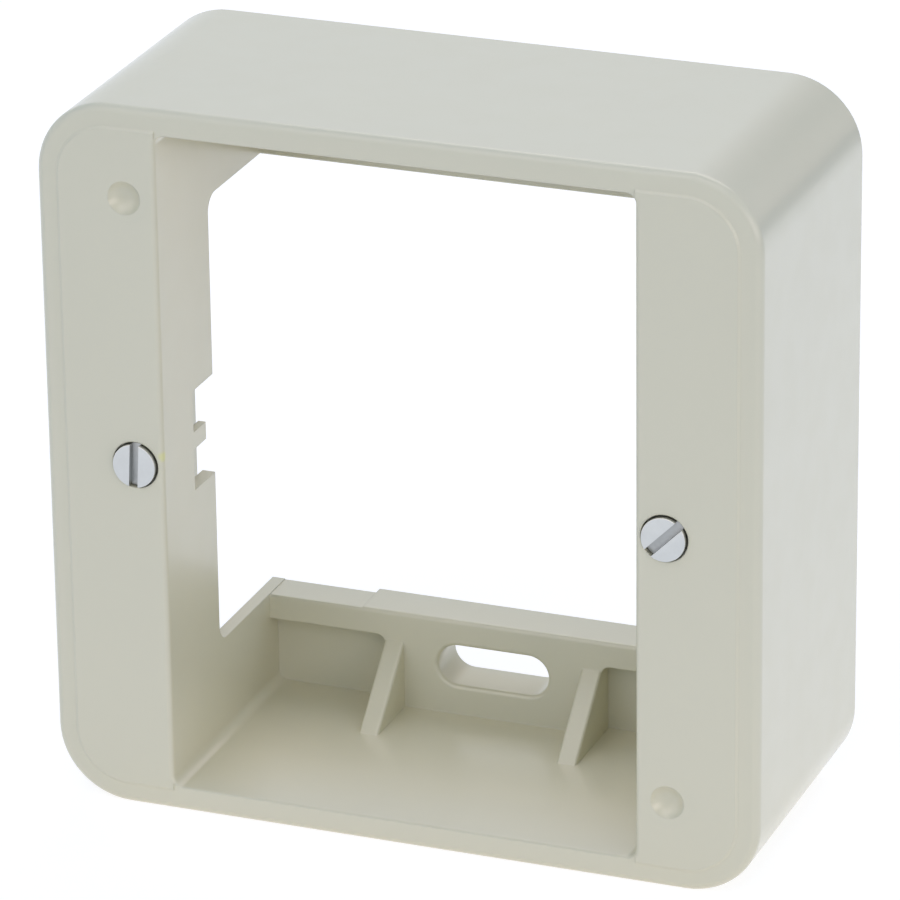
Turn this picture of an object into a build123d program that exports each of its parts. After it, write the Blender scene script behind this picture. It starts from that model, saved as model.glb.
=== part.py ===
from build123d import *
import os

# Surface mount frame: a moulded box frame that stands off a wall and carries a flush device.
# Millimetres. Origin at the centre of the wall plane, +Z up, the front face looks along -Y.
# Depths are counted from the front face towards the wall.

# Outside of the moulding
frame_width = 81.0
frame_height = 81.0
frame_depth = 33.5
outer_corner_radius = 8.3
front_edge_radius = 0.9
outer_wall = 2.9

# Panels beside the opening, raised slightly above a narrow border
border_width = 2.3
panel_rise = 0.2
panel_slope = 0.3
flange_thickness = 2.4

# Device opening, as high as the inside of the frame
opening_width = 53.5
opening_corner_radius = 1.1
opening_edge_radius = 0.6

# Inner side walls behind the opening's long edges
inner_wall = 1.5
inner_wall_depth = 13.8
inner_step_radius = 2.0

# Back bars that lie on the wall, one above and one below the window between them
window_height = 52.4
bar_thickness = 5.5
bar_lip_height = 2.95
bar_pocket_depth = 2.3
pocket_corner_radius = 1.0
bar_edge_radius = 0.5

# Gussets between each bar and the frame's floor or ceiling
gusset_spacing = 23.4
gusset_thickness = 2.3
gusset_reach = 8.4
gusset_drop = 3.5
gusset_edge_radius = 0.3

# Wall fixing slots, one in each bar
slot_spacing = 63.4
slot_length = 13.1
slot_width = 4.8

# Device screws and what holds them
screw_spacing = 60.0
head_diameter = 4.9
head_height = 1.6
head_proud = 0.5
head_edge_radius = 0.12
drive_slot_width = 1.0
drive_slot_depth = 0.85
shank_diameter = 2.9
shank_length = 8.0
shank_tip_chamfer = 0.4
left_slot_angle = 3.0
right_slot_angle = 45.0
head_side_clearance = 0.2
head_seat_clearance = 0.1
shank_hole_clearance = 0.25
thread_clearance = 0.05

# Threaded inserts, pressed into the bosses from behind
insert_outer_diameter = 4.4
insert_length = 4.6
insert_flange_diameter = 5.2
insert_flange_thickness = 0.6

# Screw bosses, their ribs, and the notch in each inner wall beside them
boss_diameter = 8.0
boss_depth = 7.9
rib_thickness = 2.0
rib_depth = 11.6
notch_height = 11.5
notch_length = 5.5

# Marked places for a second pair of screws
mark_spacing = 60.7
mark_diameter = 3.75
mark_depth = 1.1
spare_boss_diameter = 5.6
spare_boss_depth = 8.0
spare_hole_diameter = 2.5
spare_hole_floor = 2.2

# The lower bar's left end, cut back from the wall and a little lower than the rest
relief_end = -15.6
relief_depth = 0.9
relief_height = 1.3
relief_drop = 0.1

# How far a cutting tool runs past the face it leaves, and how near an edge counts as on a face
overrun = 1.0
edge_tolerance = 0.02

inside_width = frame_width - 2 * outer_wall
inside_height = frame_height - 2 * outer_wall
window_half = window_height / 2
bar_front = frame_depth - bar_thickness
lining_width = opening_width + 2 * inner_wall
head_back = head_height - head_proud
head_seat_depth = head_back + head_seat_clearance
head_hole_diameter = head_diameter + 2 * head_side_clearance
insert_bore = shank_diameter + 2 * thread_clearance
insert_front = boss_depth - insert_length


def prism(outline, front, back):
    """Extrude an outline drawn in X and Z between two depths."""
    return extrude(Plane.XZ.offset(frame_depth - back) * outline, back - front)


def block(left, right, front, back, low, high):
    """A plain block between two X places, two depths and two heights."""
    size = Box(right - left, back - front, high - low, align=(Align.MIN, Align.MIN, Align.MIN))
    return Pos(left, front - frame_depth, low) * size


def rod(x, z, diameter, front, back):
    """A round bar along the depth."""
    return prism(Pos(x, z) * Circle(diameter / 2), front, back)


def outer_box():
    """The box of the frame with its hollow, its rounded front edges and its two raised panels."""
    solid = prism(RectangleRounded(frame_width, frame_height, outer_corner_radius), panel_rise, frame_depth)
    front_edges = solid.faces().sort_by(Axis.Y)[0].edges()
    solid = fillet(front_edges, front_edge_radius)
    hollow = RectangleRounded(inside_width, inside_height, outer_corner_radius - outer_wall)
    solid -= prism(hollow, flange_thickness, frame_depth + overrun)
    return solid + raised_panels()


def raised_panels():
    """The two panels beside the opening, standing slightly above their border with a sloping edge."""
    wide = frame_width - 2 * border_width
    high = frame_height - 2 * border_width
    radius = outer_corner_radius - border_width
    foot = RectangleRounded(wide, high, radius)
    face = RectangleRounded(wide - 2 * panel_slope, high - 2 * panel_slope, radius - panel_slope)
    foot_plane = Plane.XZ.offset(frame_depth - panel_rise)
    face_plane = Plane.XZ.offset(frame_depth)
    solid = loft([foot_plane * foot, face_plane * face])
    half = opening_width / 2
    return solid - block(-half, half, -overrun, panel_rise + overrun, -frame_height, frame_height)


def side_walls():
    """The two inner walls, full depth beside the bars and cut back beside the window."""
    outline = Rectangle(lining_width, inside_height)
    solid = prism(outline, panel_rise, frame_depth)
    cut_depth = frame_depth - inner_wall_depth + inner_step_radius
    cut = Rectangle(cut_depth, window_height, align=(Align.MIN, Align.CENTER))
    cut = fillet(cut.vertices().group_by(Axis.X)[0], inner_step_radius)
    place = Plane.YZ.offset(-lining_width / 2 - overrun)
    window_cut = extrude(place * Pos(inner_wall_depth - frame_depth, 0) * cut, lining_width + 2 * overrun)
    return solid - window_cut


def opening():
    """What is taken out between the two inner walls, right through the frame, with a rounded rim."""
    outline = RectangleRounded(opening_width, inside_height, opening_corner_radius)
    hole = prism(outline, -overrun, frame_depth + overrun)
    plate = prism(Rectangle(frame_width, frame_height), 0, flange_thickness)
    pierced = plate - hole
    rim = pierced.edges().filter_by(on_opening_edge)
    return hole + (plate - fillet(rim, opening_edge_radius))


def bar(side):
    """One back bar with its pockets and fixing slot; side is 1 for the upper one and -1 for the lower."""
    inner_edge = side * window_half
    outer_edge = side * (frame_height / 2 - outer_wall / 2)
    low, high = sorted((inner_edge, outer_edge))
    half_width = lining_width / 2
    solid = block(-half_width, half_width, bar_front, frame_depth, low, high)
    pocket_top = inner_edge + side * bar_lip_height
    pocket_low, pocket_high = sorted((pocket_top, side * inside_height / 2))
    pocket_inner = gusset_spacing / 2 + gusset_thickness / 2
    pocket_width = opening_width / 2 - pocket_inner
    for hand in (-1, 1):
        middle = hand * (pocket_inner + pocket_width / 2)
        outline = Rectangle(pocket_width, pocket_high - pocket_low)
        corners = outline.vertices().sort_by_distance((-hand * pocket_width, -side * inside_height))
        outline = fillet(corners[0], pocket_corner_radius)
        outline = Pos(middle, (pocket_low + pocket_high) / 2) * outline
        solid -= prism(outline, bar_front - overrun, bar_front + bar_pocket_depth)
    slot = Pos(0, side * slot_spacing / 2) * SlotOverall(slot_length, slot_width)
    solid -= prism(slot, bar_front - overrun, frame_depth + overrun)
    rim = solid.edges().filter_by(lambda edge: on_bar_rim(edge, side))
    return fillet(rim, bar_edge_radius)


def on_bar_rim(edge, side):
    """Whether an edge is a free edge of a bar's front: its window edge or the rim of its slot."""
    middle = edge @ 0.5
    flat = abs(middle.Y - bar_front + frame_depth) < edge_tolerance
    window_edge = abs(middle.Z - side * window_half) < edge_tolerance
    in_length = abs(middle.X) < slot_length / 2 + edge_tolerance
    in_width = abs(middle.Z - side * slot_spacing / 2) < slot_width / 2 + edge_tolerance
    level = abs(edge.center().Y - middle.Y) < edge_tolerance
    return flat and level and (window_edge or (in_length and in_width))


def gusset(hand, side):
    """One sloping web between a bar and the floor or ceiling beside it."""
    foot = side * (inside_height / 2 + outer_wall / 2)
    floor_height = side * inside_height / 2
    top = side * (window_half + gusset_drop)
    bar_face = bar_front - frame_depth
    outline = Polyline(
        (bar_face + overrun, foot),
        (bar_face - gusset_reach, foot),
        (bar_face - gusset_reach, floor_height),
        (bar_face, top),
        (bar_face + overrun, top),
        close=True,
    )
    place = Plane.YZ.offset(hand * gusset_spacing / 2 - gusset_thickness / 2)
    solid = extrude(place * make_face(outline), gusset_thickness)
    return fillet(solid.edges().filter_by(on_slope), gusset_edge_radius)


def on_slope(edge):
    """Whether an edge runs up a gusset's slope."""
    run = edge.tangent_at(0.5)
    return abs(run.Y) > edge_tolerance and abs(run.Z) > edge_tolerance


def screw_boss(hand):
    """The boss round one device screw, held to the inner and outer wall by a rib."""
    place = hand * screw_spacing / 2
    solid = rod(place, 0, boss_diameter, panel_rise, boss_depth)
    inner_face = hand * opening_width / 2
    outer_face = hand * (inside_width / 2 + outer_wall / 2)
    left, right = sorted((inner_face, outer_face))
    solid += block(left, right, panel_rise, rib_depth, -rib_thickness / 2, rib_thickness / 2)
    keep = block(left, right, 0, frame_depth, -boss_diameter, boss_diameter)
    return solid & keep


def spare_boss(hand):
    """The closed boss behind one marked place."""
    x = hand * mark_spacing / 2
    z = -hand * mark_spacing / 2
    solid = rod(x, z, spare_boss_diameter, panel_rise, spare_boss_depth)
    return solid - rod(x, z, spare_hole_diameter, spare_hole_floor, spare_boss_depth + overrun)


def screw_hole(hand):
    """The recess for one screw head, the hole for its shank and the seat for its insert."""
    place = hand * screw_spacing / 2
    shank_hole = shank_diameter + 2 * shank_hole_clearance
    solid = rod(place, 0, head_hole_diameter, -overrun, head_seat_depth)
    solid += rod(place, 0, shank_hole, -overrun, rib_depth + overrun)
    solid += rod(place, 0, insert_outer_diameter, insert_front, rib_depth + overrun)
    flange_front = boss_depth - insert_flange_thickness
    return solid + rod(place, 0, insert_flange_diameter, flange_front, rib_depth + overrun)


def screw_mark(hand):
    """The round hollow that marks a place for another screw."""
    mark_radius = mark_diameter / 2
    ball_radius = (mark_radius**2 + mark_depth**2) / (2 * mark_depth)
    ball_depth = mark_depth - ball_radius
    x = hand * mark_spacing / 2
    return Pos(x, ball_depth - frame_depth, -x) * Sphere(ball_radius)


def end_relief():
    """What is taken off the left end of the lower bar: a shallow step on top and a rebate at the back."""
    left = -lining_width / 2 - overrun
    front = bar_front - overrun
    back = frame_depth + overrun
    rebate_front = frame_depth - relief_depth
    high = overrun - window_half
    solid = block(-opening_width / 2, relief_end, front, back, -window_half - relief_drop, high)
    return solid + block(left, relief_end, rebate_front, back, -window_half - relief_height, high)


def on_opening_edge(edge):
    """Whether an edge belongs to the rim of the opening in the foremost plane."""
    middle = edge @ 0.5
    flat = abs(middle.Y + frame_depth) < edge_tolerance
    inside_x = abs(middle.X) < opening_width / 2 + edge_tolerance
    inside_z = abs(middle.Z) < inside_height / 2 + edge_tolerance
    return flat and inside_x and inside_z


def moulded_frame():
    """The whole moulding."""
    solid = outer_box() + side_walls()
    for hand in (-1, 1):
        solid += screw_boss(hand)
    solid -= opening()
    for side in (-1, 1):
        solid += bar(side)
        for hand in (-1, 1):
            solid += gusset(hand, side)
    solid -= end_relief()
    for hand in (-1, 1):
        notch_start = inner_wall_depth - notch_length
        wall_side = hand * opening_width / 2
        left, right = sorted((wall_side - hand * overrun, wall_side + hand * inner_wall))
        for side in (-1, 1):
            low, high = sorted((side * rib_thickness / 2, side * notch_height / 2))
            solid -= block(left, right, notch_start, inner_wall_depth + overrun, low, high)
        solid -= block(left, right, rib_depth, inner_wall_depth + overrun, -rib_thickness, rib_thickness)
        solid += spare_boss(hand)
        solid -= screw_hole(hand)
        solid -= screw_mark(hand)
    return solid


def screw(hand, slot_angle):
    """One slotted device screw, its head slightly proud of the frame's panels."""
    place = hand * screw_spacing / 2
    head = rod(0, 0, head_diameter, -head_proud, head_back)
    head = fillet(head.edges().sort_by(Axis.Y)[0], head_edge_radius)
    head -= block(-drive_slot_width / 2, drive_slot_width / 2, -overrun, drive_slot_depth - head_proud,
                  -head_diameter, head_diameter)
    shank = rod(0, 0, shank_diameter, head_back, head_back + shank_length)
    shank = chamfer(shank.edges().sort_by(Axis.Y)[-1], shank_tip_chamfer)
    return Pos(place, 0, 0) * Rot(0, slot_angle, 0) * (head + shank)


def threaded_insert(hand):
    """One flanged brass insert, its bore a running fit on the screw."""
    place = hand * screw_spacing / 2
    solid = rod(place, 0, insert_outer_diameter, insert_front, boss_depth)
    solid += rod(place, 0, insert_flange_diameter, boss_depth - insert_flange_thickness, boss_depth)
    return solid - rod(place, 0, insert_bore, insert_front - overrun, boss_depth + overrun)


os.makedirs("parts", exist_ok=True)
export_step(moulded_frame(), "parts/moulded_frame.step")
export_step(screw(-1, left_slot_angle), "parts/screw_left.step")
export_step(screw(1, right_slot_angle), "parts/screw_right.step")
export_step(threaded_insert(-1), "parts/threaded_insert_left.step")
export_step(threaded_insert(1), "parts/threaded_insert_right.step")
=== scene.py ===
import math

import bpy
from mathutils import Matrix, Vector


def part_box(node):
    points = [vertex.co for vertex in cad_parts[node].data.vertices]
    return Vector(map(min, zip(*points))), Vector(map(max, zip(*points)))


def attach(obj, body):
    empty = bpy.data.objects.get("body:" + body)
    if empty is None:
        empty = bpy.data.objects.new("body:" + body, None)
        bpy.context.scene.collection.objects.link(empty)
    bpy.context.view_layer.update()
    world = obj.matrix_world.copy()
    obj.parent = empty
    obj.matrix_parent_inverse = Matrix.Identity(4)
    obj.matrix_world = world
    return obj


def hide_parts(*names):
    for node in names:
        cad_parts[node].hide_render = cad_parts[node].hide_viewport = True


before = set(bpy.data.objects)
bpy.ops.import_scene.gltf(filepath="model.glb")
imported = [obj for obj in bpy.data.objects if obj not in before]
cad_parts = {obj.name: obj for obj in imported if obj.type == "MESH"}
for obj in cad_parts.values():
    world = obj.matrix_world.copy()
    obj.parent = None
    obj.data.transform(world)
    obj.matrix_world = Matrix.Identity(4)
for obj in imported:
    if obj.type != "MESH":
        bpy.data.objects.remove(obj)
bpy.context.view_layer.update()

bl_info = {
    "name": "Surface mount frame",
    "version": (1, 0, 0),
    "blender": (4, 5, 0),
    "location": "3D View > Sidebar > Surface frame",
    "description": "Moulded frame with two slotted device screws in threaded inserts",
    "category": "Object",
}

MM = 0.001
FRAME_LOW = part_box("moulded_frame")[0]
SCREW_LOW, SCREW_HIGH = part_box("screw_left")
RIGHT_LOW, RIGHT_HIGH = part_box("screw_right")
INSERT_LOW, INSERT_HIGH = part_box("threaded_insert_left")
SCREW_PLACES = {"left": (SCREW_LOW + SCREW_HIGH) / 2, "right": (RIGHT_LOW + RIGHT_HIGH) / 2}
FRAME_FACE = FRAME_LOW.y
HEAD_FACE = SCREW_LOW.y
WELD_DISTANCE = 0.0005 * MM
WHITE = (1.0, 1.0, 1.0)

# The part of a noise's range that most of its values lie in
NOISE_LOW = 0.3
NOISE_HIGH = 0.7

# Distance and size of the soft lamps in metres, then each lamp's turn and height in degrees
LAMP_DISTANCE = 1.3
LAMP_SIZE = 1.1
LAMP_ANGLES = {
    "front": (5, 15),
    "left_front": (-45, 25),
    "right_front": (60, 5),
    "right_back": (135, 25),
    "top_front": (0, 55),
    "top_back": (180, 55),
}


# Properties

class MouldingLook(bpy.types.PropertyGroup):
    """Colour and surface of the moulded plastic."""

    colour: bpy.props.FloatVectorProperty(
        name="Plastic colour", description="Colour of the moulded plastic", subtype="COLOR", size=3,
        min=0.0, max=1.0, default=(0.64, 0.61, 0.43))
    roughness: bpy.props.FloatProperty(
        name="Plastic roughness", description="Roughness of the moulded plastic", subtype="FACTOR",
        min=0.0, max=1.0, default=0.33)
    gloss: bpy.props.FloatProperty(
        name="Moulded skin gloss", description="Strength of the glossy moulded skin", subtype="FACTOR",
        min=0.0, max=1.0, default=0.6)
    grain_depth: bpy.props.FloatProperty(
        name="Grain depth", description="Depth of the fine mould texture", subtype="DISTANCE",
        unit="LENGTH", default=0.0015 * MM)
    edge_rounding: bpy.props.FloatProperty(
        name="Edge rounding", description="Radius that softens the sharp edges of the moulding",
        subtype="DISTANCE", unit="LENGTH", default=0.22 * MM)
    sink_radius: bpy.props.FloatProperty(
        name="Sink radius", description="Radius of the faint sink round each marked place",
        subtype="DISTANCE", unit="LENGTH", default=3.1 * MM)
    sink_depth: bpy.props.FloatProperty(
        name="Sink depth", description="Depth of the faint sink round each marked place",
        subtype="DISTANCE", unit="LENGTH", default=0.07 * MM)
    mark_spacing: bpy.props.FloatProperty(
        name="Mark spacing", description="Distance between the two marked places, across and up",
        subtype="DISTANCE", unit="LENGTH", default=60.7 * MM)
    # Yellow mixed into the plastic's colour in a small ragged spot beside the left screw.
    yellow_spot_colour: bpy.props.FloatVectorProperty(
        name="Yellow spot colour", description="Yellow of the thin land beside the left screw",
        subtype="COLOR", size=3, min=0.0, max=1.0, default=(0.67, 0.65, 0.30))


class ScrewShape(bpy.types.PropertyGroup):
    """Sizes and finish of the two device screws."""

    head_diameter: bpy.props.FloatProperty(
        name="Head diameter", description="Diameter of the screw head", subtype="DISTANCE",
        unit="LENGTH", default=SCREW_HIGH.z - SCREW_LOW.z)
    head_height: bpy.props.FloatProperty(
        name="Head height", description="Height of the screw head", subtype="DISTANCE",
        unit="LENGTH", default=1.6 * MM)
    slot_width: bpy.props.FloatProperty(
        name="Slot width", description="Width of the driver slot", subtype="DISTANCE",
        unit="LENGTH", default=1.0 * MM)
    slot_depth: bpy.props.FloatProperty(
        name="Slot depth", description="Depth of the driver slot", subtype="DISTANCE",
        unit="LENGTH", default=0.85 * MM)
    left_slot_angle: bpy.props.FloatProperty(
        name="Left slot angle", description="Turn of the left screw's slot from upright",
        subtype="ANGLE", unit="ROTATION", default=math.radians(3.0))
    right_slot_angle: bpy.props.FloatProperty(
        name="Right slot angle", description="Turn of the right screw's slot from upright",
        subtype="ANGLE", unit="ROTATION", default=math.radians(45.0))
    shank_diameter: bpy.props.FloatProperty(
        name="Shank diameter", description="Diameter over the thread", subtype="DISTANCE",
        unit="LENGTH", default=2.9 * MM)
    thread_pitch: bpy.props.FloatProperty(
        name="Thread pitch", description="Distance from one thread to the next", subtype="DISTANCE",
        unit="LENGTH", default=0.5 * MM)
    thread_depth: bpy.props.FloatProperty(
        name="Thread depth", description="Depth of the thread", subtype="DISTANCE",
        unit="LENGTH", default=0.28 * MM)
    colour: bpy.props.FloatVectorProperty(
        name="Zinc colour", description="Colour of the zinc plating", subtype="COLOR", size=3,
        min=0.0, max=1.0, default=(0.60, 0.62, 0.615))


class InsertShape(bpy.types.PropertyGroup):
    """Sizes and finish of the two threaded inserts."""

    flange_diameter: bpy.props.FloatProperty(
        name="Flange diameter", description="Diameter of the insert's flange", subtype="DISTANCE",
        unit="LENGTH", default=INSERT_HIGH.z - INSERT_LOW.z)
    flange_thickness: bpy.props.FloatProperty(
        name="Flange thickness", description="Thickness of the insert's flange", subtype="DISTANCE",
        unit="LENGTH", default=0.6 * MM)
    body_diameter: bpy.props.FloatProperty(
        name="Body diameter", description="Diameter over the knurled body", subtype="DISTANCE",
        unit="LENGTH", default=4.4 * MM)
    bore_diameter: bpy.props.FloatProperty(
        name="Bore diameter", description="Diameter of the threaded bore", subtype="DISTANCE",
        unit="LENGTH", default=3.0 * MM)
    knurl_count: bpy.props.IntProperty(
        name="Knurl teeth", description="Number of straight knurl teeth round the body", min=8,
        max=64, default=28)
    knurl_depth: bpy.props.FloatProperty(
        name="Knurl depth", description="Depth of the knurl", subtype="DISTANCE", unit="LENGTH",
        default=0.15 * MM)
    colour: bpy.props.FloatVectorProperty(
        name="Brass colour", description="Colour of the brass", subtype="COLOR", size=3,
        min=0.0, max=1.0, default=(0.76, 0.60, 0.30))


class StageSetup(bpy.types.PropertyGroup):
    """Floor, lamps and camera."""

    camera_place: bpy.props.FloatVectorProperty(
        name="Camera place", description="Where the camera stands", subtype="TRANSLATION",
        unit="LENGTH", size=3, default=(0.23003, -0.60523, 0.25980))
    camera_turn: bpy.props.FloatVectorProperty(
        name="Camera turn", description="Turn of the camera about X, Y and Z", subtype="EULER",
        unit="ROTATION", size=3,
        default=(math.radians(67.5954), math.radians(0.6848), math.radians(21.0964)))
    lens: bpy.props.FloatProperty(
        name="Lens", description="Focal length of the camera", unit="CAMERA", default=253.39)
    floor_size: bpy.props.FloatProperty(
        name="Floor size", description="Side of the square floor", subtype="DISTANCE",
        unit="LENGTH", default=6.0)
    floor_glow: bpy.props.FloatProperty(
        name="Floor glow", description="How bright the floor looks where no lamp reaches it",
        subtype="FACTOR", min=0.0, max=1.0, default=0.82)
    floor_shadow: bpy.props.FloatProperty(
        name="Floor shadow", description="How strongly the floor shows lamps and shadow",
        subtype="FACTOR", min=0.0, max=1.0, default=0.30)
    table_light: bpy.props.FloatProperty(
        name="Table light", description="Light that the white floor round the object sends back up",
        min=0.0, default=0.38)
    sky_strength: bpy.props.FloatProperty(
        name="Sky strength", description="Light that comes evenly from all round", min=0.0,
        default=0.55)
    far_floor: bpy.props.FloatProperty(
        name="Far floor", description="How bright the far floor and the room look in reflections",
        subtype="FACTOR", min=0.0, max=1.0, default=0.4)
    lamp_tint: bpy.props.FloatVectorProperty(
        name="Lamp tint", description="Colour of the lamps and of the light off the floor",
        subtype="COLOR", size=3, min=0.0, max=1.0, default=(1.0, 0.86, 0.835))
    sky_tint: bpy.props.FloatVectorProperty(
        name="Sky tint", description="Colour of the even light", subtype="COLOR", size=3,
        min=0.0, max=1.0, default=(0.27, 0.56, 1.0))
    front_power: bpy.props.FloatProperty(
        name="Front lamp", description="Power of the lamp low in front", subtype="POWER",
        unit="POWER", min=0.0, default=0.7)
    left_front_power: bpy.props.FloatProperty(
        name="Left front lamp", description="Power of the lamp at the left front", subtype="POWER",
        unit="POWER", min=0.0, default=2.42)
    right_front_power: bpy.props.FloatProperty(
        name="Right front lamp", description="Power of the lamp low at the right front",
        subtype="POWER", unit="POWER", min=0.0, default=7.2)
    right_back_power: bpy.props.FloatProperty(
        name="Right back lamp", description="Power of the lamp at the right back", subtype="POWER",
        unit="POWER", min=0.0, default=1.72)
    top_front_power: bpy.props.FloatProperty(
        name="Top front lamp", description="Power of the lamp high in front", subtype="POWER",
        unit="POWER", min=0.0, default=4.52)
    top_back_power: bpy.props.FloatProperty(
        name="Top back lamp", description="Power of the lamp high behind", subtype="POWER",
        unit="POWER", min=0.0, default=5.65)


# Making and shaping

def object_mode():
    """Leaves edit mode and deselects everything."""
    if bpy.context.object and bpy.context.object.mode != "OBJECT":
        bpy.ops.object.mode_set(mode="OBJECT")
    bpy.ops.object.select_all(action="DESELECT")


def make_active(piece):
    """Selects one object alone and makes it the active one."""
    object_mode()
    piece.select_set(True)
    bpy.context.view_layer.objects.active = piece


def settle(piece):
    """Puts the object's place and turn into its mesh."""
    make_active(piece)
    bpy.ops.object.transform_apply(location=True, rotation=True, scale=True)


def pick_faces(piece, wanted):
    """Opens the piece for editing with the faces selected whose normal passes the test."""
    make_active(piece)
    bpy.ops.object.mode_set(mode="EDIT")
    bpy.ops.mesh.select_mode(type="FACE")
    bpy.ops.mesh.select_all(action="DESELECT")
    bpy.ops.object.mode_set(mode="OBJECT")
    for face in piece.data.polygons:
        face.select = wanted(face.normal)
    bpy.ops.object.mode_set(mode="EDIT")


def pick_edges(piece, wanted):
    """Opens the piece for editing with the edges selected whose two ends pass the test."""
    make_active(piece)
    bpy.ops.object.mode_set(mode="EDIT")
    bpy.ops.mesh.select_mode(type="EDGE")
    bpy.ops.mesh.select_all(action="DESELECT")
    bpy.ops.object.mode_set(mode="OBJECT")
    points = piece.data.vertices
    for edge in piece.data.edges:
        first, second = edge.vertices
        edge.select = wanted(points[first].co, points[second].co)
    bpy.ops.object.mode_set(mode="EDIT")


def near(value, target):
    """Whether two lengths are the same within a hundredth of a millimetre."""
    tolerance = 0.01 * MM
    return abs(value - target) < tolerance


def radius_of(point):
    """Distance of a point from the depth axis through the origin."""
    return math.hypot(point.x, point.z)


def cylinder(name, diameter, front, back, sides):
    """A cylinder along the depth, between two depths, on the axis through the origin."""
    object_mode()
    bpy.ops.mesh.primitive_cylinder_add(
        vertices=sides, radius=diameter / 2, depth=back - front,
        location=(0, (front + back) / 2, 0), rotation=(math.radians(-90), 0, 0))
    piece = bpy.context.object
    piece.name = name
    piece.data.name = name
    settle(piece)
    return piece


def use_modifier(piece, kind, **settings):
    """Adds one modifier with its settings and applies it."""
    make_active(piece)
    modifier = piece.modifiers.new(kind.title(), kind)
    for key, value in settings.items():
        setattr(modifier, key, value)
    bpy.ops.object.modifier_apply(modifier=modifier.name)


def cut_away(piece, cutter):
    """Takes the cutter out of the piece and removes the cutter."""
    use_modifier(piece, "BOOLEAN", operation="DIFFERENCE", solver="EXACT", object=cutter)
    bpy.data.objects.remove(cutter)


def join(piece, *others):
    """Joins other objects into the piece."""
    make_active(piece)
    for other in others:
        other.select_set(True)
    bpy.ops.object.join()
    return piece


def outward(piece):
    """Makes every face of a closed piece point outwards."""
    make_active(piece)
    bpy.ops.object.mode_set(mode="EDIT")
    bpy.ops.mesh.select_all(action="SELECT")
    bpy.ops.mesh.remove_doubles(threshold=WELD_DISTANCE)
    bpy.ops.mesh.normals_make_consistent(inside=False)
    bpy.ops.object.mode_set(mode="OBJECT")


def smooth(piece, angle):
    """Shades the piece smooth except at edges sharper than the angle."""
    make_active(piece)
    bpy.ops.object.shade_smooth_by_angle(angle=math.radians(angle))


def move_to(piece, place):
    """Moves the finished piece to its place and puts the place into its mesh."""
    piece.location = place
    settle(piece)


def finish_piece(piece, material, body, node):
    """Gives a finished piece its material and its body, and hides the solid that it stands for."""
    piece.data.materials.clear()
    piece.data.materials.append(material)
    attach(piece, body)
    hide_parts(node)
    object_mode()


# Materials

def new_material(name):
    """An empty node material."""
    material = bpy.data.materials.new(name)
    material.use_nodes = True
    material.node_tree.nodes.clear()
    return material, material.node_tree


def node(tree, kind, inputs=None, **settings):
    """One shader node with its settings, its values and its incoming links."""
    made = tree.nodes.new(kind)
    for key, value in settings.items():
        setattr(made, key, value)
    for key, value in (inputs or {}).items():
        if isinstance(value, bpy.types.NodeSocket):
            tree.links.new(value, made.inputs[key])
        else:
            made.inputs[key].default_value = value
    return made


def calc(tree, operation, *values):
    """The result of one math node."""
    inputs = dict(enumerate(values))
    return node(tree, "ShaderNodeMath", inputs, operation=operation).outputs[0]


def spread(tree, value, low, high, to_low, to_high):
    """Maps a value from one range to another and holds it there."""
    inputs = {"Value": value, "From Min": low, "From Max": high, "To Min": to_low, "To Max": to_high}
    return node(tree, "ShaderNodeMapRange", inputs, interpolation_type="SMOOTHSTEP").outputs[0]


def noise(tree, place, scale, detail=2.0):
    """Value of a noise at so many waves a metre."""
    inputs = {"Vector": place, "Scale": scale, "Detail": detail}
    return node(tree, "ShaderNodeTexNoise", inputs).outputs["Fac"]


def blend_colours(tree, factor, first, second):
    """A mix of two colours."""
    inputs = {0: factor, 6: first, 7: second}
    return node(tree, "ShaderNodeMix", inputs, data_type="RGBA").outputs[2]


def bump(tree, height, depth, normal=None):
    """A bump of a stated depth in metres."""
    inputs = {"Height": height, "Distance": depth, "Strength": 1.0}
    if normal is not None:
        inputs["Normal"] = normal
    return node(tree, "ShaderNodeBump", inputs).outputs[0]


def shade(colour, factor=1.0):
    """A colour made lighter or darker, with full opacity."""
    return (*[min(1.0, part * factor) for part in colour], 1.0)


def emission(tree, colour, strength):
    """A shader that gives off light."""
    return node(tree, "ShaderNodeEmission", {"Color": colour, "Strength": strength}).outputs[0]


def diffuse(tree, colour):
    """A matt shader."""
    return node(tree, "ShaderNodeBsdfDiffuse", {"Color": colour}).outputs[0]


def background(tree, colour, strength):
    """Light of one colour from the world."""
    return node(tree, "ShaderNodeBackground", {"Color": colour, "Strength": strength}).outputs[0]


def mix_shaders(tree, factor, first, second):
    """One shader where the factor is 0, the other where it is 1."""
    return node(tree, "ShaderNodeMixShader", {0: factor, 1: first, 2: second}).outputs[0]


def add_shaders(tree, first, second):
    """The sum of two shaders."""
    return node(tree, "ShaderNodeAddShader", {0: first, 1: second}).outputs[0]


def vector_math(tree, operation, *values):
    """One vector math node."""
    return node(tree, "ShaderNodeVectorMath", dict(enumerate(values)), operation=operation)


def surface(tree, colour, roughness, normal, **values):
    """The main shader and its output, with further values set on its sockets."""
    inputs = {"Base Color": colour, "Roughness": roughness, "Normal": normal}
    body = node(tree, "ShaderNodeBsdfPrincipled", inputs)
    for key, value in values.items():
        body.inputs[key.replace("_", " ")].default_value = value
    node(tree, "ShaderNodeOutputMaterial", {"Surface": body.outputs[0]})


def distance_from(tree, place, point):
    """Distance of the surface from a point."""
    offset = vector_math(tree, "SUBTRACT", place, point).outputs[0]
    return vector_math(tree, "LENGTH", offset).outputs["Value"]


def distance_across(tree, place, point):
    """Distance of the surface from a point as seen from the front."""
    offset = vector_math(tree, "SUBTRACT", place, point).outputs[0]
    offset = vector_math(tree, "MULTIPLY", offset, (1, 0, 1)).outputs[0]
    return vector_math(tree, "LENGTH", offset).outputs["Value"]


# Yellow mixed into the plastic's colour in a small ragged spot, about as light as the plastic.
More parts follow.
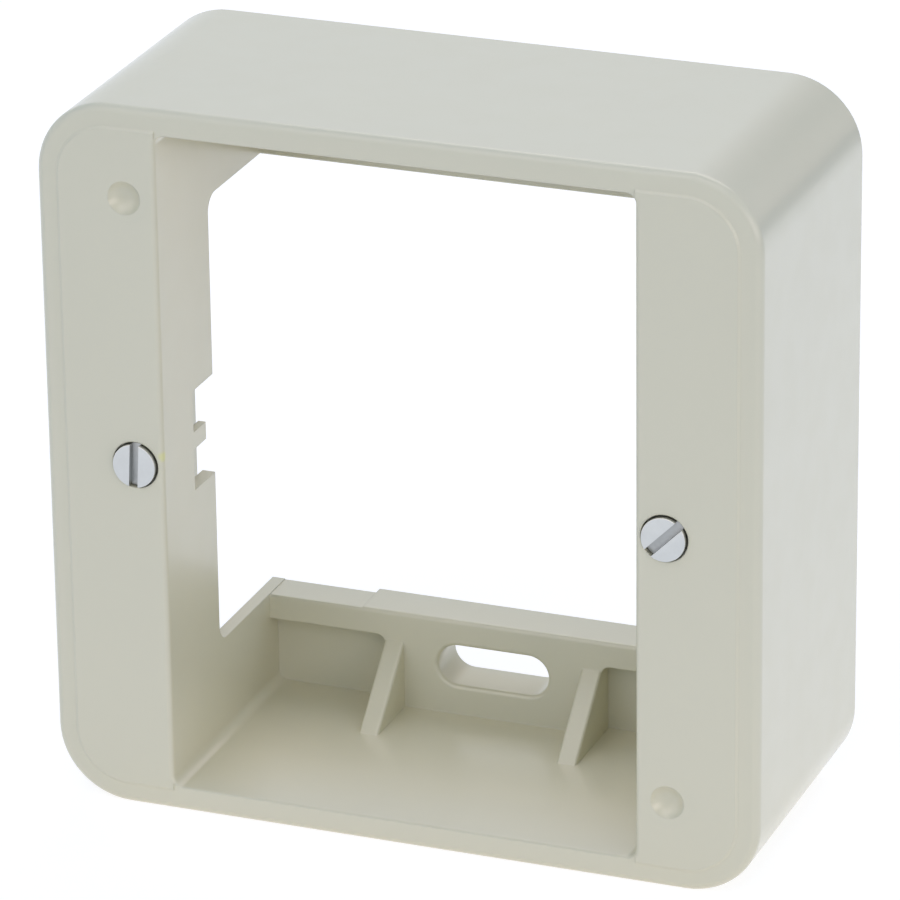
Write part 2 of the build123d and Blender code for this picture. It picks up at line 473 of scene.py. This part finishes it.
def with_yellow_spot(tree, place, colour, spot_colour):
    """Adds the yellow spot on the thin land beside the left screw."""
    centre = (-26.75 * MM, FRAME_FACE + 0.2 * MM, 1.3 * MM)
    inner_radius = 0.55 * MM
    outer_radius = 1.05 * MM
    ragged_scale = 900.0
    ragged_depth = 0.5 * MM
    ragged_edge = calc(tree, "MULTIPLY", noise(tree, place, ragged_scale), ragged_depth)
    away = calc(tree, "ADD", distance_from(tree, place, centre), ragged_edge)
    spot = spread(tree, away, inner_radius, outer_radius, 1.0, 0.0)
    return blend_colours(tree, spot, colour, shade(spot_colour))


def with_sinks(tree, place, look, normal):
    """Adds the faint sink round both marks."""
    half = look.mark_spacing / 2
    inner_radius = 0.5 * look.sink_radius
    height = None
    for hand in (-1, 1):
        away = distance_across(tree, place, (hand * half, FRAME_FACE, -hand * half))
        low = spread(tree, away, inner_radius, look.sink_radius, 0.0, 1.0)
        height = low if height is None else calc(tree, "MULTIPLY", height, low)
    return bump(tree, height, look.sink_depth, normal)


def cream_plastic(look):
    """Semi-gloss cream moulded plastic with a fine grain, sink rings and a small yellow spot."""
    cloud_scale = 55.0
    wave_scale = 130.0
    wave_depth = 0.03 * MM
    grain_scale = 5200.0
    gloss_scale = 240.0
    darker = 0.985
    lighter = 1.015
    smoother = look.roughness - 0.03
    rougher = look.roughness + 0.04
    material, tree = new_material("cream_plastic")
    place = node(tree, "ShaderNodeTexCoord").outputs["Object"]
    cloud = noise(tree, place, cloud_scale)
    colour = blend_colours(tree, cloud, shade(look.colour, darker), shade(look.colour, lighter))
    colour = with_yellow_spot(tree, place, colour, look.yellow_spot_colour)
    edges = node(tree, "ShaderNodeBevel", {"Radius": look.edge_rounding}, samples=6).outputs[0]
    waves = bump(tree, noise(tree, place, wave_scale, detail=1.0), wave_depth, edges)
    sinks = with_sinks(tree, place, look, waves)
    grain = bump(tree, noise(tree, place, grain_scale, detail=3.0), look.grain_depth, sinks)
    patches = noise(tree, place, gloss_scale, detail=4.0)
    rough = spread(tree, patches, NOISE_LOW, NOISE_HIGH, smoother, rougher)
    surface(tree, colour, rough, grain, IOR=1.5, Coat_Weight=look.gloss, Coat_Roughness=0.2)
    return material


def turned_metal(name, colour, centre, face, roughness, ring_scale):
    """Plated or plain metal turned on a lathe about one screw's axis, darker behind its outer face as
    painted shade.
    """
    cloud_scale = 900.0
    pit_scale = 14000.0
    pit_depth = 0.0004 * MM
    ring_depth = 0.001 * MM
    smear_scale = 2600.0
    darker = 0.93
    lighter = 1.05
    smoother = roughness - 0.05
    rougher = roughness + 0.07
    painted_shade_start = 0.1 * MM
    painted_shade_end = 0.7 * MM
    painted_shade_factor = 0.66
    material, tree = new_material(name)
    place = node(tree, "ShaderNodeTexCoord").outputs["Object"]
    cloud = noise(tree, place, cloud_scale, detail=3.0)
    tone = blend_colours(tree, cloud, shade(colour, darker), shade(colour, lighter))
    # Painted shade: the metal gets darker with depth behind the seen face, standing in for the shade in
    # the slot and round the hidden shank.
    depth = node(tree, "ShaderNodeSeparateXYZ", {0: place}).outputs["Y"]
    depth = calc(tree, "ABSOLUTE", calc(tree, "SUBTRACT", depth, face))
    painted_shade = spread(tree, depth, painted_shade_start, painted_shade_end, 0.0, 1.0)
    tone = blend_colours(tree, painted_shade, tone, shade(colour, painted_shade_factor))
    turned = node(tree, "ShaderNodeMapping", {"Vector": place, "Location": -Vector(centre)}).outputs[0]
    wave = {"Vector": turned, "Scale": ring_scale, "Distortion": 0.6, "Detail": 2.0}
    rings = node(tree, "ShaderNodeTexWave", wave, wave_type="RINGS", rings_direction="Y").outputs["Fac"]
    normal = bump(tree, rings, ring_depth)
    normal = bump(tree, noise(tree, place, pit_scale, detail=3.0), pit_depth, normal)
    smears = noise(tree, place, smear_scale, detail=4.0)
    rough = spread(tree, smears, NOISE_LOW, NOISE_HIGH, smoother, rougher)
    surface(tree, tone, rough, normal, Metallic=1.0)
    return material


def table(tree, setup, distance):
    """What lights the object: a matt white top that gives off some light near the object."""
    fade_start = 0.12
    fade_end = 0.35
    off_white = (0.8, 0.8, 0.79)
    glow = spread(tree, distance, fade_start, fade_end, setup.table_light, 0.0)
    top = diffuse(tree, shade(off_white))
    return add_shaders(tree, top, emission(tree, shade(setup.lamp_tint), glow))


def paper(tree, setup, place, distance, mirrored):
    """What is seen of the floor: white, with its far part on the right dimmer when mirrored."""
    far_start = 0.3
    far_end = 0.6
    right_start = -0.15
    right_end = 0.05
    far_glow = setup.far_floor - setup.floor_shadow
    far = spread(tree, distance, far_start, far_end, 0.0, 1.0)
    across = node(tree, "ShaderNodeSeparateXYZ", {0: place}).outputs["X"]
    right = spread(tree, across, right_start, right_end, 0.0, 1.0)
    far_right = calc(tree, "MULTIPLY", far, right)
    fade = spread(tree, far_right, 0.0, 1.0, setup.floor_glow, far_glow)
    glow = node(tree, "ShaderNodeMix", {0: mirrored, 2: setup.floor_glow, 3: fade}).outputs[0]
    matt = diffuse(tree, shade(WHITE, setup.floor_shadow))
    return add_shaders(tree, matt, emission(tree, shade(WHITE), glow))


def floor_material(setup):
    """White floor that keeps the shadow, lights the object and is clear from below."""
    material, tree = new_material("studio_floor")
    path = node(tree, "ShaderNodeLightPath").outputs
    place = node(tree, "ShaderNodeTexCoord").outputs["Object"]
    distance = distance_from(tree, place, (0, 0, 0))
    seen = calc(tree, "MAXIMUM", path["Is Glossy Ray"], path["Is Transmission Ray"])
    seen = calc(tree, "MAXIMUM", path["Is Camera Ray"], seen)
    white = paper(tree, setup, place, distance, path["Is Glossy Ray"])
    top = mix_shaders(tree, seen, table(tree, setup, distance), white)
    clear = node(tree, "ShaderNodeBsdfTransparent").outputs[0]
    below = node(tree, "ShaderNodeNewGeometry").outputs["Backfacing"]
    both = mix_shaders(tree, below, top, clear)
    node(tree, "ShaderNodeOutputMaterial", {"Surface": both})
    return material


def sky(setup):
    """Even light from all round, white to the camera, with a dimmer part of the room in reflections."""
    dim_side = Vector((0.42, 0.85, 0.30)).normalized()
    dim_inner = math.cos(math.radians(22))
    dim_outer = math.cos(math.radians(42))
    world = bpy.data.worlds.new("studio_sky")
    bpy.context.scene.world = world
    world.use_nodes = True
    tree = world.node_tree
    tree.nodes.clear()
    path = node(tree, "ShaderNodeLightPath").outputs
    direction = node(tree, "ShaderNodeTexCoord").outputs["Generated"]
    facing = vector_math(tree, "DOT_PRODUCT", direction, dim_side).outputs["Value"]
    room = spread(tree, facing, dim_outer, dim_inner, 1.0, setup.far_floor)
    mirrored = background(tree, shade(WHITE), room)
    even = background(tree, shade(setup.sky_tint), setup.sky_strength)
    unseen = mix_shaders(tree, path["Is Glossy Ray"], even, mirrored)
    seen = calc(tree, "MAXIMUM", path["Is Camera Ray"], path["Is Transmission Ray"])
    mixed = mix_shaders(tree, seen, unseen, background(tree, shade(WHITE), 1.0))
    node(tree, "ShaderNodeOutputWorld", {"Surface": mixed})


# Pieces

def moulding(material):
    """The moulding as one merged skin, flat faces shaded flat and every rounding smooth."""
    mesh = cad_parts["moulded_frame"].data.copy()
    piece = bpy.data.objects.new("dressed_moulded_frame", mesh)
    mesh.name = piece.name
    bpy.context.scene.collection.objects.link(piece)
    make_active(piece)
    bpy.ops.mesh.customdata_custom_splitnormals_clear()
    bpy.ops.object.mode_set(mode="EDIT")
    bpy.ops.mesh.select_all(action="SELECT")
    bpy.ops.mesh.remove_doubles(threshold=WELD_DISTANCE)
    bpy.ops.object.mode_set(mode="OBJECT")
    smooth(piece, angle=32)
    use_modifier(piece, "WEIGHTED_NORMAL", keep_sharp=True, weight=100)
    finish_piece(piece, material, "frame", "moulded_frame")


def screw_head(shape, turn):
    """The slotted head, its slot cut at the stated turn and its edges slightly broken."""
    rim_bevel = 0.06 * MM
    slot_bevel = 0.035 * MM
    seat = HEAD_FACE + shape.head_height
    head = cylinder("screw_head", shape.head_diameter, HEAD_FACE, seat, sides=96)
    rim = shape.head_diameter / 2
    pick_edges(head, lambda a, b: near(a.y, HEAD_FACE) and near(b.y, HEAD_FACE)
               and near(radius_of(a), rim))
    bpy.ops.mesh.bevel(offset=rim_bevel, segments=4, affect="EDGES")
    object_mode()
    slot = (shape.slot_width, 2 * shape.slot_depth, 2 * shape.head_diameter)
    bpy.ops.mesh.primitive_cube_add(
        size=1.0, location=(0, HEAD_FACE, 0), rotation=(0, turn, 0), scale=slot)
    cutter = bpy.context.object
    settle(cutter)
    cut_away(head, cutter)
    use_modifier(head, "BEVEL", width=slot_bevel, segments=2, limit_method="ANGLE",
                 angle_limit=math.radians(40))
    return head


def thread(shape, start, length):
    """A helical thread ridge about the depth axis, closed at both ends."""
    sunk = 0.06 * MM
    root_to_pitch = 0.86
    crest_to_root = 0.2
    crest = shape.shank_diameter / 2
    root = crest - shape.thread_depth - sunk
    pitch = shape.thread_pitch
    turns = int(length / pitch) - 1
    object_mode()
    bpy.ops.mesh.primitive_plane_add(size=1.0, location=((root + crest) / 2, 0, 0))
    ridge = bpy.context.object
    ridge.name = "screw_thread"
    ridge.scale = (crest - root, pitch * root_to_pitch, 1)
    settle(ridge)
    pick_edges(ridge, lambda a, b: near(a.x, crest) and near(b.x, crest))
    bpy.ops.transform.resize(value=(1, crest_to_root, 1))
    bpy.ops.mesh.select_mode(type="FACE")
    bpy.ops.mesh.select_all(action="SELECT")
    bpy.ops.mesh.delete(type="ONLY_FACE")
    bpy.ops.object.mode_set(mode="OBJECT")
    use_modifier(ridge, "SCREW", axis="Y", angle=math.radians(360), screw_offset=pitch,
                 iterations=turns, steps=32, render_steps=32, use_smooth_shade=False)
    make_active(ridge)
    bpy.ops.object.mode_set(mode="EDIT")
    bpy.ops.mesh.select_all(action="SELECT")
    bpy.ops.mesh.remove_doubles(threshold=WELD_DISTANCE)
    bpy.ops.mesh.select_all(action="DESELECT")
    bpy.ops.mesh.select_mode(type="EDGE")
    bpy.ops.mesh.select_non_manifold()
    bpy.ops.mesh.fill_holes(sides=0)
    bpy.ops.object.mode_set(mode="OBJECT")
    low = min(point.co.y for point in ridge.data.vertices)
    move_to(ridge, (0, start - low, 0))
    return ridge


def shank(shape, seat, back):
    """The plain core of the shank, its far end chamfered."""
    overlap = 0.2 * MM
    end_bevel = 0.3 * MM
    core_diameter = shape.shank_diameter - 2 * shape.thread_depth
    piece = cylinder("screw_shank", core_diameter, seat - overlap, back, sides=48)
    pick_edges(piece, lambda a, b: near(a.y, back) and near(b.y, back))
    bpy.ops.mesh.bevel(offset=end_bevel, segments=2, affect="EDGES")
    object_mode()
    return piece


def screw(shape, hand, turn, body, material):
    """One device screw with its slotted head and threaded shank."""
    neck = 0.7 * MM
    plain_length = 0.8 * MM
    node_name = "screw_" + hand
    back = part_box(node_name)[1].y
    seat = HEAD_FACE + shape.head_height
    head = screw_head(shape, turn)
    core = shank(shape, seat, back)
    ridge = thread(shape, seat + neck, back - seat - plain_length)
    piece = join(head, core, ridge)
    piece.name = "dressed_" + node_name
    piece.data.name = piece.name
    outward(piece)
    smooth(piece, angle=35)
    place = SCREW_PLACES[hand]
    move_to(piece, (place.x, 0, place.z))
    finish_piece(piece, material, body, node_name)


def knurled_body(shape, front, back):
    """The insert's body with straight teeth round it."""
    sides = 2 * shape.knurl_count
    body = cylinder("insert_body", shape.body_diameter, front, back, sides)
    pick_edges(body, lambda a, b: near(a.x, b.x) and near(a.z, b.z)
               and round(math.atan2(a.z, a.x) / math.tau * sides) % 2 == 0)
    factor = 1 - 2 * shape.knurl_depth / shape.body_diameter
    bpy.ops.transform.resize(value=(factor, 1, factor), center_override=(0, 0, 0))
    return body


def insert_flange(shape, front, back):
    """The insert's flange with its rims slightly broken."""
    rim_bevel = 0.08 * MM
    flange = cylinder("insert_flange", shape.flange_diameter, front, back, sides=64)
    rim = shape.flange_diameter / 2
    pick_edges(flange, lambda a, b: near(a.y, b.y) and near(radius_of(a), rim))
    bpy.ops.mesh.bevel(offset=rim_bevel, segments=2, affect="EDGES")
    object_mode()
    return flange


def bore_insert(shape, body, front, back):
    """Bores the insert through and opens its mouth with a steep cone that reaches past the face."""
    past_end = 1 * MM
    cone_depth = 0.15 * MM
    cone_flare = 0.15 * MM
    mouth_diameter = shape.bore_diameter + 2 * cone_flare
    bore = cylinder("insert_bore", shape.bore_diameter, front - past_end, back + past_end, sides=64)
    cut_away(body, bore)
    mouth = cylinder("insert_mouth", mouth_diameter, back - cone_depth, back + past_end, sides=64)
    facing_front = -0.9
    pick_faces(mouth, lambda normal: normal.y < facing_front)
    factor = shape.bore_diameter / mouth_diameter
    bpy.ops.transform.resize(value=(factor, 1, factor), center_override=(0, 0, 0))
    cut_away(body, mouth)


def threaded_insert(shape, hand, material):
    """One flanged brass insert made from a knurled body and a flange, bored through."""
    overlap = 0.1 * MM
    node_name = "threaded_insert_" + hand
    low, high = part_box(node_name)
    flange_front = high.y - shape.flange_thickness
    piece = knurled_body(shape, low.y, flange_front + overlap)
    flange = insert_flange(shape, flange_front, high.y)
    use_modifier(piece, "BOOLEAN", operation="UNION", solver="EXACT", object=flange)
    bpy.data.objects.remove(flange)
    bore_insert(shape, piece, low.y, high.y)
    piece.name = "dressed_" + node_name
    piece.data.name = piece.name
    outward(piece)
    smooth(piece, angle=30)
    middle = (low + high) / 2
    move_to(piece, (middle.x, 0, middle.z))
    finish_piece(piece, material, "frame", node_name)


# Stage

def white_floor(setup):
    """The white floor under the frame."""
    object_mode()
    bpy.ops.mesh.primitive_plane_add(size=setup.floor_size, location=(0, 0, FRAME_LOW.z))
    floor = bpy.context.object
    floor.name = "studio_floor"
    floor.data.materials.append(floor_material(setup))
    settle(floor)


def lamp(name, power, tint, turn, height):
    """One square soft lamp at a turn round the object and an angle above the floor, in degrees."""
    data = bpy.data.lights.new(name, "AREA")
    data.energy = power
    data.color = tint
    data.size = LAMP_SIZE
    made = bpy.data.objects.new(name, data)
    bpy.context.scene.collection.objects.link(made)
    turn = math.radians(turn)
    height = math.radians(height)
    level = math.cos(height)
    away = Vector((math.sin(turn) * level, -math.cos(turn) * level, math.sin(height)))
    made.location = LAMP_DISTANCE * away
    made.rotation_euler = away.to_track_quat("Z", "Y").to_euler()


def camera(setup):
    """The camera that sees the object as in the photo."""
    lens = bpy.data.cameras.new("photo_camera")
    lens.lens = setup.lens
    lens.sensor_width = 36.0
    lens.clip_start = 0.01
    lens.clip_end = 20.0
    made = bpy.data.objects.new("photo_camera", lens)
    bpy.context.scene.collection.objects.link(made)
    made.location = setup.camera_place
    made.rotation_euler = setup.camera_turn
    bpy.context.scene.camera = made


# Operators

class MakeMoulding(bpy.types.Operator):
    """Gives the moulded frame its plastic finish."""

    bl_idname = "surface_frame.make_moulding"
    bl_label = "Finish moulded frame"

    def execute(self, context):
        moulding(cream_plastic(context.scene.moulding_look))
        return {"FINISHED"}


class MakeScrews(bpy.types.Operator):
    """Makes the two slotted device screws."""

    bl_idname = "surface_frame.make_screws"
    bl_label = "Make device screws"

    def execute(self, context):
        shape = context.scene.screw_shape
        roughness = 0.36
        ring_scale = 1500.0
        for hand, turn in (("left", shape.left_slot_angle), ("right", shape.right_slot_angle)):
            centre = SCREW_PLACES[hand]
            name = "zinc_plated_" + hand
            material = turned_metal(name, shape.colour, centre, HEAD_FACE, roughness, ring_scale)
            screw(shape, hand, turn, hand + "_screw", material)
        return {"FINISHED"}


class MakeInserts(bpy.types.Operator):
    """Makes the two threaded inserts that the screws turn in."""

    bl_idname = "surface_frame.make_inserts"
    bl_label = "Make threaded inserts"

    def execute(self, context):
        shape = context.scene.insert_shape
        roughness = 0.34
        ring_scale = 1200.0
        for hand in ("left", "right"):
            centre = SCREW_PLACES[hand]
            name = "brass_" + hand
            material = turned_metal(name, shape.colour, centre, INSERT_HIGH.y, roughness, ring_scale)
            threaded_insert(shape, hand, material)
        return {"FINISHED"}


class MakeStage(bpy.types.Operator):
    """Makes the floor, the even light, the lamps and the camera."""

    bl_idname = "surface_frame.make_stage"
    bl_label = "Make stage"

    def execute(self, context):
        setup = context.scene.stage_setup
        white_floor(setup)
        sky(setup)
        for place, (turn, height) in LAMP_ANGLES.items():
            lamp(place + "_lamp", getattr(setup, place + "_power"), setup.lamp_tint, turn, height)
        camera(setup)
        context.scene.view_settings.view_transform = "Standard"
        return {"FINISHED"}


class FramePanel(bpy.types.Panel):
    """Lists the steps and the sizes of the surface mount frame."""

    bl_idname = "VIEW3D_PT_surface_frame"
    bl_label = "Surface mount frame"
    bl_space_type = "VIEW_3D"
    bl_region_type = "UI"
    bl_category = "Surface frame"

    def draw(self, context):
        for step, settings in STEPS.items():
            self.layout.operator(step.bl_idname)
            group = getattr(context.scene, settings)
            for name in group.bl_rna.properties.keys():
                if name not in ("rna_type", "name"):
                    self.layout.prop(group, name)


GROUPS = {
    "moulding_look": MouldingLook,
    "screw_shape": ScrewShape,
    "insert_shape": InsertShape,
    "stage_setup": StageSetup,
}
STEPS = {
    MakeMoulding: "moulding_look",
    MakeScrews: "screw_shape",
    MakeInserts: "insert_shape",
    MakeStage: "stage_setup",
}


def register():
    for name, group in GROUPS.items():
        bpy.utils.register_class(group)
        setattr(bpy.types.Scene, name, bpy.props.PointerProperty(type=group))
    for step in STEPS:
        bpy.utils.register_class(step)
    bpy.utils.register_class(FramePanel)


def unregister():
    bpy.utils.unregister_class(FramePanel)
    for step in reversed(STEPS):
        bpy.utils.unregister_class(step)
    for name, group in reversed(GROUPS.items()):
        delattr(bpy.types.Scene, name)
        bpy.utils.unregister_class(group)


def main():
    register()
    bpy.ops.surface_frame.make_moulding()
    bpy.ops.surface_frame.make_screws()
    bpy.ops.surface_frame.make_inserts()
    bpy.ops.surface_frame.make_stage()


if __name__ == "__main__":
    main()
